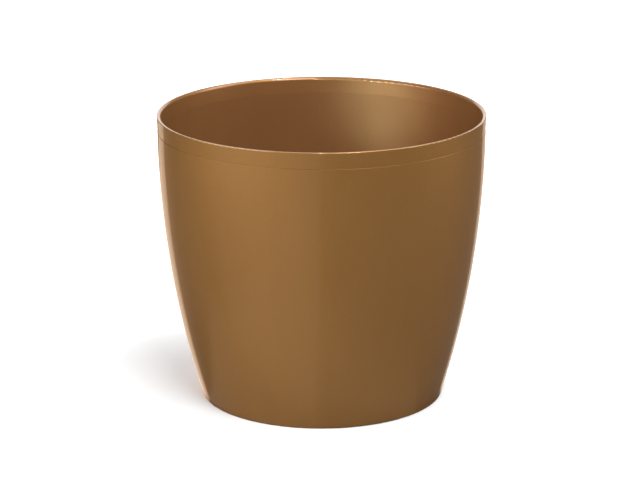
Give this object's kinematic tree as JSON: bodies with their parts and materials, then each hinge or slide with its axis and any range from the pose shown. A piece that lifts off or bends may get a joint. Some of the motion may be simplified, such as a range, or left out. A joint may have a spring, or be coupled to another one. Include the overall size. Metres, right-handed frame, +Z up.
{
  "type": "cachepot",
  "caption": "Round tapered cover pot for a nursery pot, with a gently bellied wall, a closed floor on a foot ring, and a thin rim band snapped onto its mouth.",
  "frame": {"origin": "on the ground, at the centre of the foot ring", "axes": "+Z up along the pot's axis; the pot is round, so X and Y are free"},
  "size_m": [0.2499, 0.25, 0.221],
  "materials": {
    "shell_bronze": "moulded plastic with a fine metallic bronze lustre, semi-gloss, linear colour",
    "band_bronze": "moulded plastic with a fine metallic bronze lustre, semi-gloss, linear colour"
  },
  "bodies": {
    "root": {"outer_shell": "shell_bronze", "rim_band": "band_bronze"}
  },
  "joints": []
}
